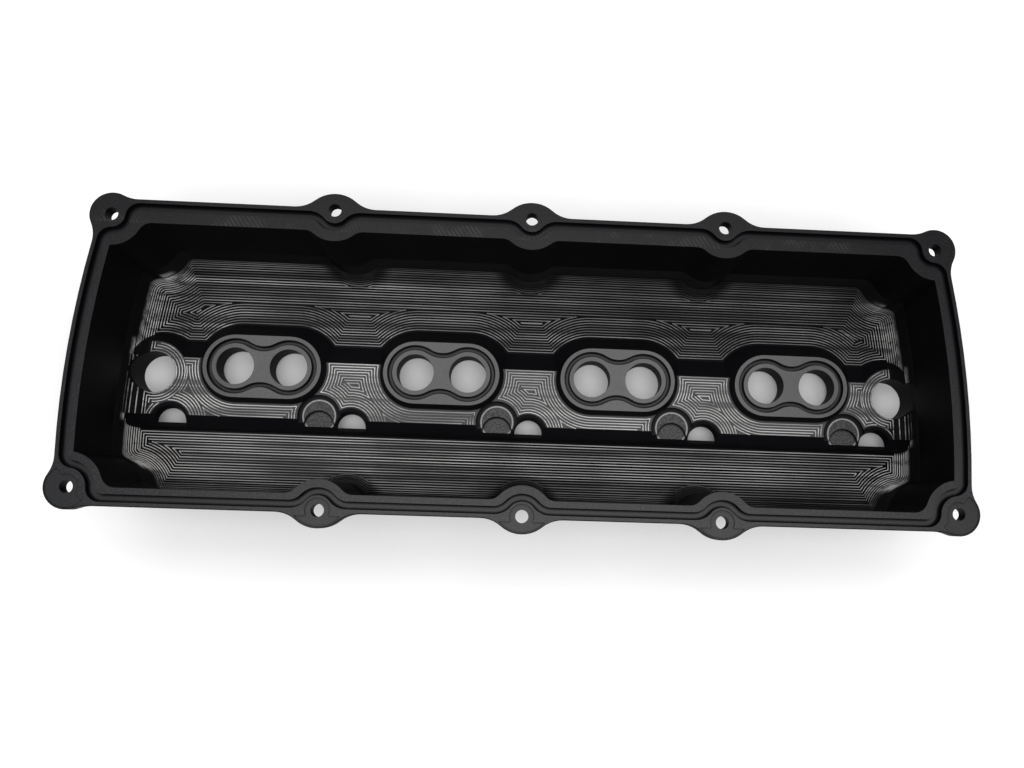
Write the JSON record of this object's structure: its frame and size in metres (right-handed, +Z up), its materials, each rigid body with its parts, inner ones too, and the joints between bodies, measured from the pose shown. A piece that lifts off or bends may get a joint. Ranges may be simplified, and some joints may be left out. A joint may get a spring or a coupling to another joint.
{
  "type": "engine valve cover",
  "caption": "Billet aluminium valve cover lying open side up, with a sealing groove round its flange, bolt ears, paired plug towers and end ports.",
  "frame": {"origin": "under the middle of the cover, on the plane of the dome tops that it lies on", "axes": "+X along the cover, +Y across it, +Z up, from the dome tops to the flange face"},
  "size_m": [0.5254, 0.1916, 0.0825],
  "materials": {
    "anodised_aluminium": "black anodised, satin"
  },
  "bodies": {
    "root": {"valve_cover": "anodised_aluminium"}
  },
  "joints": []
}
